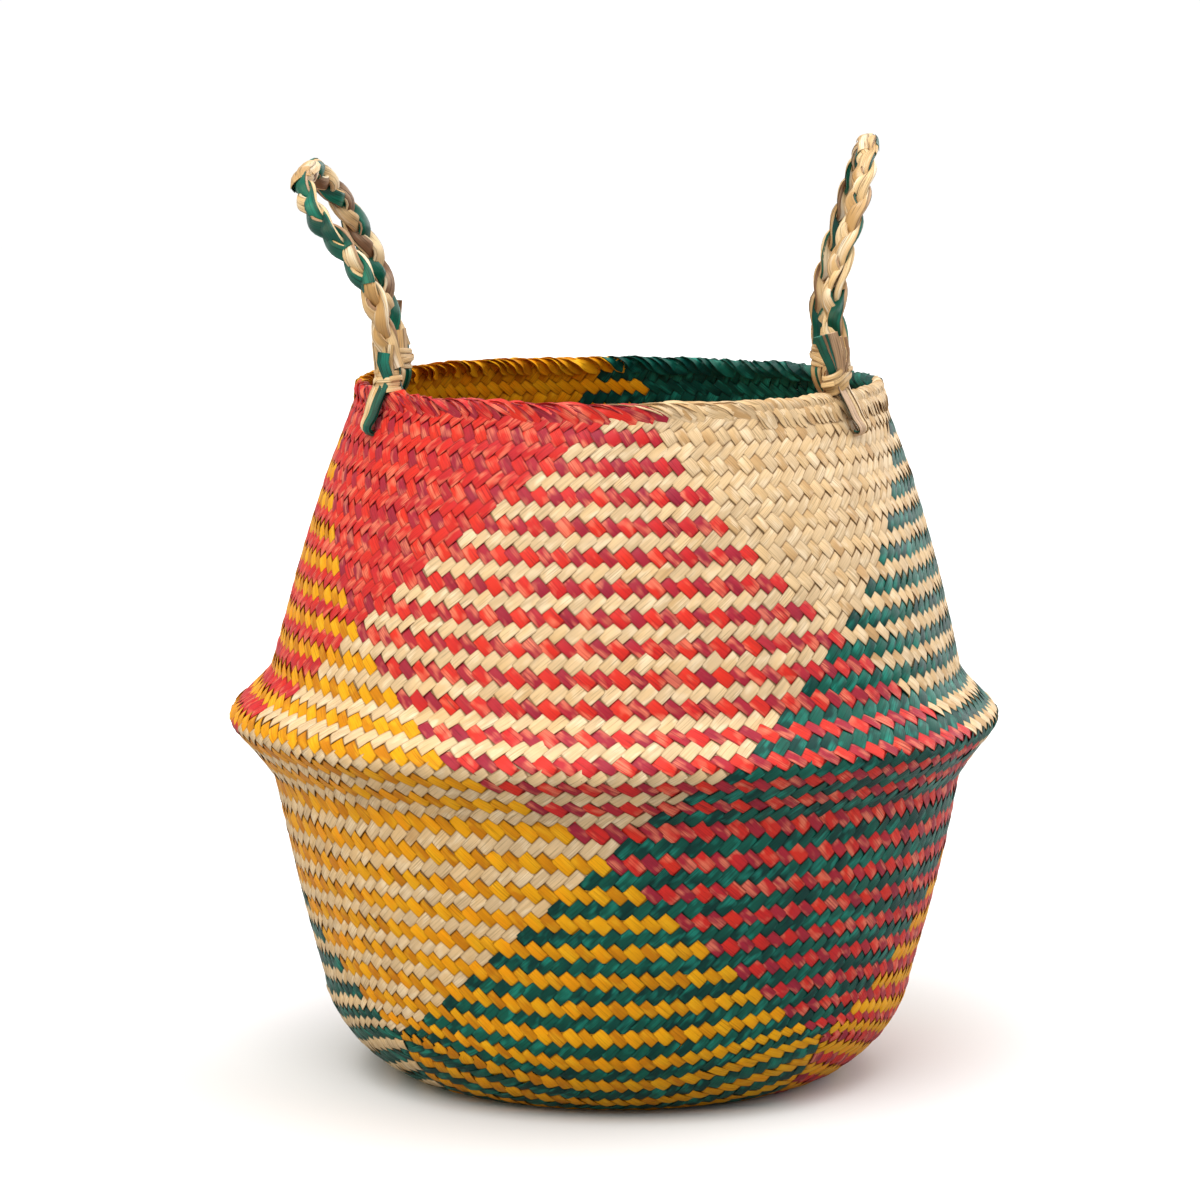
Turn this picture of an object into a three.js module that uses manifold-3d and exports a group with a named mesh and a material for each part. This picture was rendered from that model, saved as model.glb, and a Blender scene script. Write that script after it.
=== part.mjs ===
// Belly basket plaited from leaf strips, with a collar that sinks into the belly and two loop handles.
// Millimetres, +Z up, origin on the floor under the middle of the base.
import * as THREE from 'three';
import { mergeVertices } from 'three/addons/utils/BufferGeometryUtils.js';
import Module from 'manifold-3d';

// Wall: outer radii and heights where the profile turns
const WALL = 2.2;
const FLAT_RADIUS = 95;
const TURN_RADIUS = 139;
const TURN_HEIGHT = 45;
const TURN_POWER = 1.6;
const BASE_EDGE_HEIGHT = 22;
const FOLD_FOOT_RADIUS = 161.5;
const FOLD_FOOT_HEIGHT = 143;
const RIDGE_RADIUS = 180;
const RIDGE_HEIGHT = 170;
const SHOULDER_START_HEIGHT = 176;
const SHOULDER_RADIUS = 162;
const SHOULDER_HEIGHT = 191;
const RIM_RADIUS = 121;
const RIM_HEIGHT = 326;
const COLLAR_RADIUS = 137;
const COLLAR_DROP = 42;
const COLLAR_HEIGHT = RIM_HEIGHT - COLLAR_DROP;
const WALL_BULGE = 1.5;

// Rim: strips folded over, one band for each colour of strip
const RIM_BAND_HEIGHT = 7.7;
const RIM_BAND_THICKNESS = 5.2;

// Handle: a plait of three leaf bundles, bent into an arch
const HANDLE_HALF_SPAN = 62;
const HANDLE_HEIGHT = 91;
const LEFT_LEAN_DEG = 26;
const RIGHT_LEAN_DEG = 9.7;
const PLAIT_PITCH = 48;
const PLAIT_SWAY = 4.8;
const PLAIT_DEPTH = 2.5;
const STRAND_HALF_WIDTH = 2.25;
const STRAND_HALF_THICKNESS = 1.55;
const KNUCKLE_RADIUS = 7;

// Handle feet: two leaves through a slot below the rim, a cut leaf end, and a lashing above the rim
const LEAF_WIDTH = 5.5;
const LEAF_THICKNESS = 1.2;
const LEAF_END_WIDTH = 2.8;
const LEAF_END_RISE = 7;
const SLOT_DROP = 22;
const LASHING_TURNS = 4;
const LASHING_CORD = 1.7;
const LASHING_PITCH = 2.2;

// Clearances
const SEAM = 0.3;
const LEAF_GAP = 0.4;
const SLOT_GAP = 0.5;

// Facets
const AROUND = 48;
const TURN_STEPS = 7;
const WALL_STEPS = 3;
const PLAIT_STEPS_PER_PITCH = 9;
const STRAND_SIDES = 8;
const LASHING_STEPS = 24;
const LASHING_SIDES = 6;
const BEND_STEPS = 6;
const ARCH_SAMPLES = 400;

const COLOURS = {
  natural: 0xe0c48a,
  red: 0xd6403c,
  green: 0x0f6a50,
  mustard: 0xdf9c22,
  raffia: 0xdcc48e,
};

const wasm = await Module();
wasm.setup();
const basket = new THREE.Group();

function bare(geometry) {
  const source = geometry.index ? geometry.toNonIndexed() : geometry.clone();
  source.deleteAttribute('normal');
  source.deleteAttribute('uv');
  return mergeVertices(source, 1e-4);
}

function signedVolume(geometry) {
  const at = geometry.getAttribute('position');
  const index = geometry.getIndex();
  const corners = [new THREE.Vector3(), new THREE.Vector3(), new THREE.Vector3()];
  let total = 0;
  for (let i = 0; i < index.count; i += 3) {
    corners.forEach((corner, n) => corner.fromBufferAttribute(at, index.getX(i + n)));
    total += corners[0].dot(corners[1].cross(corners[2])) / 6;
  }
  return total;
}

function outward(geometry) {
  const shape = bare(geometry);
  if (signedVolume(shape) < 0) {
    const index = shape.getIndex();
    for (let i = 0; i < index.count; i += 3) {
      const first = index.getX(i);
      index.setX(i, index.getX(i + 1));
      index.setX(i + 1, first);
    }
  }
  return shape;
}

function toSolid(geometry) {
  const shape = outward(geometry);
  const vertProperties = new Float32Array(shape.getAttribute('position').array);
  const triVerts = new Uint32Array(shape.getIndex().array);
  return new wasm.Manifold(new wasm.Mesh({ numProp: 3, vertProperties, triVerts }));
}

function toGeometry(solid) {
  const mesh = solid.getMesh();
  const geometry = new THREE.BufferGeometry();
  geometry.setAttribute('position', new THREE.BufferAttribute(mesh.vertProperties, 3));
  geometry.setIndex(new THREE.BufferAttribute(mesh.triVerts, 1));
  return geometry;
}

function add(parent, name, geometry, colour) {
  const material = new THREE.MeshStandardMaterial({ color: COLOURS[colour], roughness: 0.55, metalness: 0 });
  const mesh = new THREE.Mesh(geometry, material);
  mesh.name = name;
  parent.add(mesh);
  return mesh;
}

// A ring or bowl turned about Z from a closed outline of [radius, height] points
function turned(outline, closed) {
  const points = outline.map(([radius, height]) => new THREE.Vector2(radius, height));
  if (closed) points.push(points[0].clone());
  return outward(new THREE.LatheGeometry(points, AROUND).rotateX(Math.PI / 2));
}

// A bar through stations { at, side, up } with one closed section of [side, up] points, capped at both ends
function sweep(stations, section) {
  const positions = [];
  const faces = [];
  const ringSize = section.length;
  const put = (point) => positions.push(point.x, point.y, point.z);
  for (const { at, side, up } of stations) {
    for (const [a, b] of section) put(at.clone().addScaledVector(side, a).addScaledVector(up, b));
  }
  for (let ring = 0; ring + 1 < stations.length; ring++) {
    for (let corner = 0; corner < ringSize; corner++) {
      const next = (corner + 1) % ringSize;
      const low = ring * ringSize;
      const high = low + ringSize;
      faces.push(low + corner, low + next, high + next, low + corner, high + next, high + corner);
    }
  }
  const lastRing = (stations.length - 1) * ringSize;
  for (let corner = 1; corner + 1 < ringSize; corner++) {
    faces.push(0, corner + 1, corner, lastRing, lastRing + corner, lastRing + corner + 1);
  }
  const geometry = new THREE.BufferGeometry();
  geometry.setAttribute('position', new THREE.BufferAttribute(new Float32Array(positions), 3));
  geometry.setIndex(faces);
  return outward(geometry);
}

function ovalSection(halfWidth, halfThickness, sides) {
  return Array.from({ length: sides }, (_, n) => {
    const angle = (2 * Math.PI * (n + 0.5)) / sides;
    return [halfWidth * Math.cos(angle), halfThickness * Math.sin(angle)];
  });
}

// The wall's outer profile above the base, as straight stretches that bulge a little in the middle
const STRETCHES = [
  { from: [TURN_RADIUS, TURN_HEIGHT], to: [FOLD_FOOT_RADIUS, FOLD_FOOT_HEIGHT], bulge: WALL_BULGE },
  { from: [FOLD_FOOT_RADIUS, FOLD_FOOT_HEIGHT], to: [RIDGE_RADIUS, RIDGE_HEIGHT], bulge: 0 },
  { from: [RIDGE_RADIUS, RIDGE_HEIGHT], to: [SHOULDER_RADIUS, SHOULDER_HEIGHT], bulge: 0 },
  { from: [SHOULDER_RADIUS, SHOULDER_HEIGHT], to: [COLLAR_RADIUS, COLLAR_HEIGHT], bulge: WALL_BULGE },
  { from: [COLLAR_RADIUS, COLLAR_HEIGHT], to: [RIM_RADIUS, RIM_HEIGHT], bulge: 0 },
];

// The rounded turn from the flat base to the wall, a quarter of a superellipse
function turnPoint(angle) {
  const out = Math.sin(angle) ** (2 / TURN_POWER);
  const up = Math.cos(angle) ** (2 / TURN_POWER);
  return [FLAT_RADIUS + (TURN_RADIUS - FLAT_RADIUS) * out, TURN_HEIGHT * (1 - up)];
}

function turnAngle(height) {
  return Math.acos(Math.max(0, 1 - height / TURN_HEIGHT) ** (TURN_POWER / 2));
}

function outerRadius(height) {
  if (height <= TURN_HEIGHT) return turnPoint(turnAngle(height))[0];
  const found = STRETCHES.find(({ to }) => height <= to[1]);
  const { from, to, bulge } = found ?? STRETCHES[STRETCHES.length - 1];
  const along = (height - from[1]) / (to[1] - from[1]);
  return from[0] + (to[0] - from[0]) * along + bulge * Math.sin(Math.PI * along);
}

function innerRadius(height) {
  const slope = outerRadius(height + 0.5) - outerRadius(height - 0.5);
  return outerRadius(height) - WALL * Math.hypot(1, slope);
}

function middleRadius(height) {
  return (outerRadius(height) + innerRadius(height)) / 2;
}

function isCurved(height) {
  if (height < TURN_HEIGHT) return true;
  const found = STRETCHES.find(({ to }) => height <= to[1]);
  return Boolean(found?.bulge);
}

// A band of the wall between two heights, with a station at each turn of the profile
function wallBand(low, high) {
  const turns = STRETCHES.map(({ from }) => from[1]).filter((height) => height > low && height < high);
  const heights = [low];
  for (const height of [...turns, high]) {
    const start = heights[heights.length - 1];
    const steps = isCurved((start + height) / 2) ? WALL_STEPS : 1;
    for (let n = 1; n <= steps; n++) heights.push(start + ((height - start) * n) / steps);
  }
  const outer = heights.map((height) => [outerRadius(height), height]);
  const inner = heights.map((height) => [innerRadius(height), height]).reverse();
  return turned([...outer, ...inner], true);
}

function baseMat() {
  const top = turnAngle(BASE_EDGE_HEIGHT);
  const outer = [];
  const inner = [];
  for (let n = 0; n <= TURN_STEPS; n++) {
    const angle = (top * n) / TURN_STEPS;
    const [radius, height] = turnPoint(angle);
    const [nextRadius, nextHeight] = turnPoint(angle + 1e-3);
    const length = Math.hypot(nextRadius - radius, nextHeight - height);
    outer.push([radius, height]);
    const lift = (WALL * (nextRadius - radius)) / length;
    const draw = (WALL * (nextHeight - height)) / length;
    if (height + lift < BASE_EDGE_HEIGHT) inner.push([radius - draw, height + lift]);
  }
  inner.push([innerRadius(BASE_EDGE_HEIGHT), BASE_EDGE_HEIGHT]);
  return turned([[0, 0], ...outer, ...inner.reverse(), [0, WALL]], false);
}

// Places around the rim: the middle of the wall there, and the feet of the handles
const RIM_MIDDLE = outerRadius(RIM_HEIGHT) - WALL / 2;
const FOOT_ANGLE = Math.asin(HANDLE_HALF_SPAN / RIM_MIDDLE);
const HINGE_X = RIM_MIDDLE * Math.cos(FOOT_ANGLE);
const SLOT_HEIGHT = RIM_HEIGHT - SLOT_DROP;
const RIM_BAND_FOOT = RIM_HEIGHT - RIM_BAND_HEIGHT;
const LASHING_FOOT = RIM_HEIGHT + SEAM + LASHING_CORD / 2;
const LASHING_TOP = LASHING_FOOT + LASHING_TURNS * LASHING_PITCH + LASHING_CORD / 2;
const HINGE_HEIGHT = LASHING_TOP + SEAM + KNUCKLE_RADIUS;

// Side offsets of a foot's leaves, from the cut leaf end's side: leaf end, green leaf, natural leaf
const LEAF_PITCH = LEAF_WIDTH + LEAF_GAP;
const GREEN_SIDE = LEAF_PITCH / 2;
const NATURAL_SIDE = -LEAF_PITCH / 2;
const LEAF_END_SIDE = LEAF_PITCH + LEAF_GAP / 2 + LEAF_END_WIDTH / 2;
const BUNDLE_LOW = NATURAL_SIDE - LEAF_WIDTH / 2;
const BUNDLE_HIGH = LEAF_END_SIDE + LEAF_END_WIDTH / 2;
const BUNDLE_MIDDLE = (BUNDLE_LOW + BUNDLE_HIGH) / 2;
const BUNDLE_HALF_WIDTH = (BUNDLE_HIGH - BUNDLE_LOW) / 2;
const LIMB_OFFSET = (LEAF_THICKNESS + LEAF_GAP) / 2;
const BUNDLE_HALF_DEPTH = LIMB_OFFSET + LEAF_THICKNESS / 2;

// How far the wall's facets, and its curve at a flat leaf's far edge, come in towards the inside limb
const FACET_DROP = RIM_RADIUS * (1 - Math.cos(Math.PI / AROUND));
const CURVE_DROP = LEAF_PITCH ** 2 / (2 * RIM_RADIUS);

// The half circle in which a leaf turns under itself through the slot
function slotBend() {
  const clear = LEAF_GAP + LEAF_THICKNESS / 2;
  const inner = innerRadius(SLOT_HEIGHT) - clear - FACET_DROP - CURVE_DROP;
  const outer = outerRadius(SLOT_HEIGHT) + clear;
  return { middle: (inner + outer) / 2, reach: (outer - inner) / 2 };
}

// One leaf of a foot, as a band of points [radius, height] that goes down inside and comes up outside
function leafRoute() {
  const clear = LEAF_GAP + LEAF_THICKNESS / 2;
  const insideClear = clear + FACET_DROP + CURVE_DROP;
  const { middle, reach } = slotBend();
  const rimHalf = RIM_BAND_THICKNESS / 2;
  const top = LASHING_TOP - SEAM;
  const gathered = LASHING_FOOT + LASHING_CORD / 2;
  const [rimLow, rimHigh] = [RIM_BAND_FOOT, RIM_HEIGHT - LEAF_THICKNESS];
  const inside = [
    [RIM_MIDDLE - LIMB_OFFSET, top],
    [RIM_MIDDLE - LIMB_OFFSET, gathered],
    [middleRadius(rimHigh) - rimHalf - insideClear, rimHigh],
    [middleRadius(rimLow) - rimHalf - insideClear, rimLow],
  ];
  const outside = [
    [middleRadius(rimLow) + rimHalf + clear, rimLow],
    [middleRadius(rimHigh) + rimHalf + clear, rimHigh],
    [RIM_MIDDLE + LIMB_OFFSET, gathered],
    [RIM_MIDDLE + LIMB_OFFSET, top],
  ];
  const bend = [];
  for (let n = 0; n <= BEND_STEPS; n++) {
    const angle = Math.PI + (Math.PI * n) / BEND_STEPS;
    bend.push([middle + reach * Math.cos(angle), SLOT_HEIGHT + reach * Math.sin(angle)]);
  }
  return [...inside, ...bend, ...outside];
}

function leafGeometry(sideOffset) {
  const route = leafRoute().map(([radius, height]) => new THREE.Vector3(radius, sideOffset, height));
  const side = new THREE.Vector3(0, 1, 0);
  const stations = route.map((at, n) => {
    const before = route[Math.max(0, n - 1)];
    const after = route[Math.min(route.length - 1, n + 1)];
    const along = after.clone().sub(before).normalize();
    return { at, side, up: new THREE.Vector3().crossVectors(along, side).normalize() };
  });
  const [w, t] = [LEAF_WIDTH / 2, LEAF_THICKNESS / 2];
  return sweep(stations, [[-w, -t], [w, -t], [w, t], [-w, t]]);
}

function leafEndGeometry() {
  const [w, low, high] = [LEAF_END_WIDTH / 2, RIM_HEIGHT + SEAM, LASHING_TOP + LEAF_END_RISE];
  const shape = new THREE.Shape();
  shape.moveTo(-w, low);
  shape.lineTo(w, low);
  shape.lineTo(w, high);
  shape.lineTo(-w, high - LEAF_END_WIDTH);
  shape.closePath();
  const geometry = new THREE.ExtrudeGeometry(shape, { depth: LEAF_THICKNESS, bevelEnabled: false });
  geometry.translate(0, 0, -LEAF_THICKNESS / 2);
  geometry.applyMatrix4(new THREE.Matrix4().set(0, 0, 1, RIM_MIDDLE, 1, 0, 0, LEAF_END_SIDE, 0, 1, 0, 0, 0, 0, 0, 1));
  return outward(geometry);
}

// The lashing's route round the bundle of leaves: a rounded oblong that climbs one pitch a turn
function lashingPoints() {
  const halfSide = BUNDLE_HALF_WIDTH + LEAF_GAP + LASHING_CORD / 2 + LEAF_THICKNESS / 2;
  const halfDepth = BUNDLE_HALF_DEPTH + LEAF_GAP + LASHING_CORD / 2 + LEAF_THICKNESS;
  const squareness = 2 / 3;
  const bent = (value) => Math.sign(value) * Math.abs(value) ** squareness;
  const points = [];
  for (let n = 0; n <= LASHING_TURNS * LASHING_STEPS; n++) {
    const angle = (2 * Math.PI * (n + 0.5)) / LASHING_STEPS;
    points.push(new THREE.Vector3(
      RIM_MIDDLE + halfDepth * bent(Math.cos(angle)),
      BUNDLE_MIDDLE + halfSide * bent(Math.sin(angle)),
      LASHING_FOOT + (LASHING_PITCH * n) / LASHING_STEPS,
    ));
  }
  return points;
}

function leastGap(points, cord) {
  let least = Infinity;
  for (let i = 0; i < points.length; i++) {
    for (let j = i + LASHING_STEPS / 2; j < points.length; j++) {
      least = Math.min(least, points[i].distanceTo(points[j]) - cord);
    }
  }
  return least;
}

function lashingGeometry() {
  const points = lashingPoints();
  console.log(`least gap of the lashing to itself: ${leastGap(points, LASHING_CORD).toFixed(2)} mm`);
  const up = new THREE.Vector3(0, 0, 1);
  const stations = points.map((at, n) => {
    const before = points[Math.max(0, n - 1)];
    const after = points[Math.min(points.length - 1, n + 1)];
    const along = after.clone().sub(before).normalize();
    return { at, side: new THREE.Vector3().crossVectors(along, up).normalize(), up };
  });
  return sweep(stations, ovalSection(LASHING_CORD / 2, LASHING_CORD / 2, LASHING_SIDES));
}

// The slot through the collar that a foot's two leaves share
function slotCutter() {
  const { middle, reach } = slotBend();
  const width = 2 * LEAF_PITCH - LEAF_GAP + 2 * SLOT_GAP;
  const wallReach = Math.max(outerRadius(SLOT_HEIGHT) - middle, middle - innerRadius(SLOT_HEIGHT));
  const leafTop = Math.sqrt(Math.max(0, (reach - LEAF_THICKNESS / 2) ** 2 - wallReach ** 2));
  const [low, high] = [-reach - LEAF_THICKNESS / 2 - SLOT_GAP, SLOT_GAP - leafTop];
  const cutter = new THREE.BoxGeometry(4 * reach, width, high - low);
  return cutter.translate(middle, 0, SLOT_HEIGHT + (low + high) / 2);
}

// Stations along a handle's arch in its own frame: hinge line along Y through the origin, arch up +Z
function archStations() {
  const samples = [new THREE.Vector3(0, -HANDLE_HALF_SPAN, -KNUCKLE_RADIUS - SEAM)];
  for (let n = 0; n <= ARCH_SAMPLES; n++) {
    const angle = (Math.PI * n) / ARCH_SAMPLES;
    samples.push(new THREE.Vector3(0, -HANDLE_HALF_SPAN * Math.cos(angle), HANDLE_HEIGHT * Math.sin(angle)));
  }
  samples.push(new THREE.Vector3(0, HANDLE_HALF_SPAN, -KNUCKLE_RADIUS - SEAM));
  const path = new THREE.CurvePath();
  for (let n = 0; n + 1 < samples.length; n++) path.add(new THREE.LineCurve3(samples[n], samples[n + 1]));
  const length = path.getLength();
  const steps = Math.round((PLAIT_STEPS_PER_PITCH * length) / PLAIT_PITCH);
  const stations = [];
  for (let n = 0; n <= steps; n++) {
    const at = path.getPointAt(n / steps);
    const along = path.getTangentAt(n / steps).normalize();
    const side = new THREE.Vector3(1, 0, 0);
    stations.push({ at, side, up: new THREE.Vector3().crossVectors(side, along), run: (length * n) / steps });
  }
  return stations;
}

function strandGeometry(strand) {
  const phase = (2 * Math.PI * strand) / 3;
  const stations = archStations().map(({ at, side, up, run }) => {
    const angle = (2 * Math.PI * run) / PLAIT_PITCH + phase;
    const centre = at.clone();
    centre.addScaledVector(side, PLAIT_SWAY * Math.sin(angle));
    centre.addScaledVector(up, PLAIT_DEPTH * Math.sin(2 * angle));
    return { at: centre, side, up };
  });
  const strandSolid = toSolid(sweep(stations, ovalSection(STRAND_HALF_WIDTH, STRAND_HALF_THICKNESS, STRAND_SIDES)));
  const room = 4 * HANDLE_HALF_SPAN;
  const above = new THREE.BoxGeometry(room, room, room).translate(0, 0, room / 2);
  const knuckle = new THREE.CylinderGeometry(KNUCKLE_RADIUS, KNUCKLE_RADIUS, room, AROUND);
  return toGeometry(strandSolid.intersect(toSolid(above).add(toSolid(knuckle))));
}

function addWall() {
  const collarTop = RIM_BAND_FOOT - SEAM;
  add(basket, 'base_mat', baseMat(), 'green');
  add(basket, 'lower_wall', wallBand(BASE_EDGE_HEIGHT + SEAM, FOLD_FOOT_HEIGHT), 'mustard');
  add(basket, 'belly_fold', wallBand(FOLD_FOOT_HEIGHT + SEAM, SHOULDER_START_HEIGHT), 'red');
  add(basket, 'shoulder_wall', wallBand(SHOULDER_START_HEIGHT + SEAM, COLLAR_HEIGHT), 'natural');
  let collar = toSolid(wallBand(COLLAR_HEIGHT + SEAM, collarTop));
  for (const angle of [FOOT_ANGLE, Math.PI - FOOT_ANGLE, Math.PI + FOOT_ANGLE, -FOOT_ANGLE]) {
    collar = collar.subtract(toSolid(slotCutter().rotateZ(angle)));
  }
  add(basket, 'collar_wall', toGeometry(collar), 'natural');
}

function addRim() {
  const half = RIM_BAND_THICKNESS / 2;
  const round = half / 2;
  const levels = [
    [half, RIM_BAND_FOOT + round],
    [half, RIM_HEIGHT - round],
    [round, RIM_HEIGHT],
  ];
  const outer = levels.map(([out, height]) => [middleRadius(height) + out, height]);
  const inner = levels.map(([out, height]) => [middleRadius(height) - out, height]).reverse();
  const foot = middleRadius(RIM_BAND_FOOT);
  const ring = toSolid(turned([[foot - round, RIM_BAND_FOOT], [foot + round, RIM_BAND_FOOT], ...outer, ...inner], true));
  const reach = 2 * RIM_RADIUS;
  ['green', 'mustard', 'red', 'natural'].forEach((colour, quarter) => {
    const corner = new THREE.BoxGeometry(reach, reach, 2 * RIM_HEIGHT);
    corner.translate(reach / 2 + SEAM / 2, reach / 2 + SEAM / 2, 0).rotateZ((Math.PI / 2) * quarter);
    add(basket, `rim_edge_${colour}`, toGeometry(ring.intersect(toSolid(corner))), colour);
  });
}

// A foot's pieces at azimuth 0, with its cut leaf end on the +Y side
const FOOT_PIECES = [
  { piece: 'natural_leaf', geometry: leafGeometry(NATURAL_SIDE), colour: 'natural' },
  { piece: 'green_leaf', geometry: leafGeometry(GREEN_SIDE), colour: 'green' },
  { piece: 'leaf_end', geometry: leafEndGeometry(), colour: 'green' },
  { piece: 'lashing', geometry: lashingGeometry(), colour: 'raffia' },
];

function addFoot(name, angle, mirrored) {
  const place = new THREE.Matrix4().makeRotationZ(angle);
  if (mirrored) place.multiply(new THREE.Matrix4().makeScale(1, -1, 1));
  for (const { piece, geometry, colour } of FOOT_PIECES) {
    add(basket, `${name}_${piece}`, outward(geometry.clone().applyMatrix4(place)), colour);
  }
}

function addHandle(side, direction, leanDegrees) {
  const handle = new THREE.Group();
  handle.position.set(direction * HINGE_X, 0, HINGE_HEIGHT);
  handle.rotation.y = direction * THREE.MathUtils.degToRad(leanDegrees);
  basket.add(handle);
  ['natural', 'green', 'natural'].forEach((colour, strand) => {
    add(handle, `${side}_handle_strand_${strand + 1}`, strandGeometry(strand), colour);
  });
}

addWall();
addRim();
addFoot('right_back', FOOT_ANGLE, false);
addFoot('left_back', Math.PI - FOOT_ANGLE, true);
addFoot('left_front', Math.PI + FOOT_ANGLE, false);
addFoot('right_front', -FOOT_ANGLE, true);
addHandle('left', -1, LEFT_LEAN_DEG);
addHandle('right', 1, RIGHT_LEAN_DEG);

console.log(`hinge line x ${HINGE_X.toFixed(3)} z ${HINGE_HEIGHT.toFixed(3)}, foot y ${HANDLE_HALF_SPAN}`);

export default basket;
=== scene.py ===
"""Belly basket plaited from dyed leaf strips, with a folded rim and two plaited loop handles."""
import math

import bpy
import numpy as np
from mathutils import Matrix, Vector


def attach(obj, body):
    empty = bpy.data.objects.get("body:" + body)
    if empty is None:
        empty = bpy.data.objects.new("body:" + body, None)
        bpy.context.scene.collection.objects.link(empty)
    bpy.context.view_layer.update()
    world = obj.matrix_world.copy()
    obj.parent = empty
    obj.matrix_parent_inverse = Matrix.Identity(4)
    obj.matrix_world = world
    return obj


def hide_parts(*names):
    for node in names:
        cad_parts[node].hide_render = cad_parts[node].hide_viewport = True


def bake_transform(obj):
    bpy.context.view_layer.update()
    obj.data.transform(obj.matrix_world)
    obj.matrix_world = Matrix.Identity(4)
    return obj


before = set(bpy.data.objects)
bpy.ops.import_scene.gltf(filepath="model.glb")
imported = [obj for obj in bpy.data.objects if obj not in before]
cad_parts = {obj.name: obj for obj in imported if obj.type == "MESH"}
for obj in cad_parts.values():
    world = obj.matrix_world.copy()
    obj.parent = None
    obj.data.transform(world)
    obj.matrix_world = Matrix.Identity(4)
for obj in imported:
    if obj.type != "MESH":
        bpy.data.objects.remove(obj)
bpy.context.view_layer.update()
bpy.ops.object.select_all(action="DESELECT")

MM = 0.001
chance = np.random.default_rng(41)

# Outline of the wall, outer face, in millimetres: the same sizes as the solid wall
WALL = 2.2
FLAT_RADIUS = 95.0
TURN_RADIUS = 139.0
TURN_HEIGHT = 45.0
TURN_POWER = 1.6
FOLD_FOOT = (161.5, 143.0)
RIDGE = (180.0, 170.0)
SHOULDER = (162.0, 191.0)
COLLAR = (137.0, 284.0)
RIM = (121.0, 326.0)
WALL_BULGE = 1.5
RIM_MIDDLE = RIM[0] - WALL / 2
RIM_SLOPE = (RIM[0] - COLLAR[0]) / (RIM[1] - COLLAR[1])

# Plait of the wall. Depth counts rows of crossings down from the rim; run is the way up the wall in mm
STRIPS = 128
STRIP_ANGLE = 360.0 / STRIPS
QUARTER = 32
HALF_ROUND = 64
BASE_DEPTH = 48.0
BASE_HALF = 16.0
BASE_PITCH = 8.3
ROW_DEPTHS = (0.0, 3.25, 13.25, 23.25, 25.25, 29.25, 33.25, 48.0)
ROW_RUNS = (464.4, 442.6, 374.6, 307.6, 292.4, 267.8, 237.8, 133.1)
EDGE_RUN = ROW_RUNS[-1]
CORNER_LIFT = 19.0
# How far the pattern turns off square with depth, in degrees
TURN_DEPTHS = (0, 1.25, 3.25, 5.25, 8, 16, 24, 31, 46, 64)
TURNS = (1.2, 0.6, -1.3, -2.4, -3.3, -5.0, -4.0, -2.3, -2.0, -1.0)
# How much higher a row lies at the corners of the base than between them, in mm
RISE_DEPTHS = (31, 35.3, 39.3, 43.3, 45.3, 47.3, 48, 50)
RISES = (0, 2.0, 5.0, 8.0, 11.0, 16.8, 19.0, 24.0)
# A strip: how far it lies off the wall's middle, its bulge, its edge, and where it starts and ends
LAYER = 0.5
STRIP_BULGE = 0.24
STRIP_EDGE = 0.12
STRIP_END = 0.6
BROAD, NARROW = 1.11, 0.93
PIECED_LENGTH = 13.5

# Handles: hinge line, arch and plait
HINGE_X = 102.626
HINGE_HEIGHT = 344.1
HANDLE_HALF_SPAN = 62.0
HANDLE_HEIGHT = 91.0
LEANS = {"left": 26.0, "right": 9.7}
KNUCKLE = 7.3
PLAIT_PITCH = 48.0
ARCH_STEPS = 400

# Feet of the handles
SLOT_HEIGHT = 304.0
LASHING_FOOT = 326.3
LASHING_TOP = 336.8
FOOT_ANGLE = math.degrees(math.asin(HANDLE_HALF_SPAN / RIM_MIDDLE))
WAY_POINTS = 46

# Camera, lamps and floor
CAMERA_PLACE = (-0.008, -2.2134, 0.5291)
CAMERA_DIP = 0.1378
LENS = 142.46
# Each lamp: the way its light goes, its spread in degrees, power and colour
LAMPS = {
    "key": ((0.36, 0.90, -1.2), 46, 2.13, (1, 1, 1)),
    "overhead": ((0.0, -0.22, -1.0), 70, 1.55, (1, 1, 1)),
    "fill_right": ((-0.98, 0.12, -0.90), 60, 0.9, (1, 1, 1)),
    "edge_right": ((-0.80, -0.62, -0.24), 50, 1.1, (1, 1, 1)),
    "fill_low_left": ((0.95, 0.34, -0.05), 60, 1.16, (1.0, 0.86, 0.50)),
}
# Strength of the white room, and grey of the floor: in the light they give, and as the camera sees them
ROOM_STRENGTHS = (0.44, 1.02)
FLOOR_GREYS = (0.36, 0.80)


def unit(rows):
    return rows / np.linalg.norm(rows, axis=-1, keepdims=True)


def square_to(rows, along):
    """Directions with what lies along a line taken out."""
    return unit(rows - along * np.sum(rows * along, axis=1)[:, None])


def run_along(points):
    """Distance of each point of a line from its start."""
    return np.concatenate([[0.0], np.cumsum(np.linalg.norm(np.diff(points, axis=0), axis=1))])


def points_at(run, own_run, points):
    """Points of a line at other distances along it."""
    return np.stack([np.interp(run, own_run, points[:, axis]) for axis in range(points.shape[1])], axis=1)


def about_axis(radius, angle, height):
    """Points, or directions, round the basket's middle axis."""
    return np.stack([radius * np.cos(angle), radius * np.sin(angle), height], axis=-1)


def pressed_round(angle, power):
    """Sine and cosine, pressed out towards a rounded square."""
    sin, cos = np.sin(angle), np.cos(angle)
    return np.sign(sin) * np.abs(sin) ** power, np.sign(cos) * np.abs(cos) ** power


def wander(run, gap, spread, centre=0):
    """A smooth random value along a run, with a new draw every gap."""
    places = np.arange(0, run[-1] + 2 * gap, gap)
    return np.interp(run, places, chance.normal(centre, spread, len(places)))


def set_inputs(node, values):
    """Sets inputs of a node by their names."""
    for socket, value in values.items():
        node.inputs[socket].default_value = value


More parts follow.
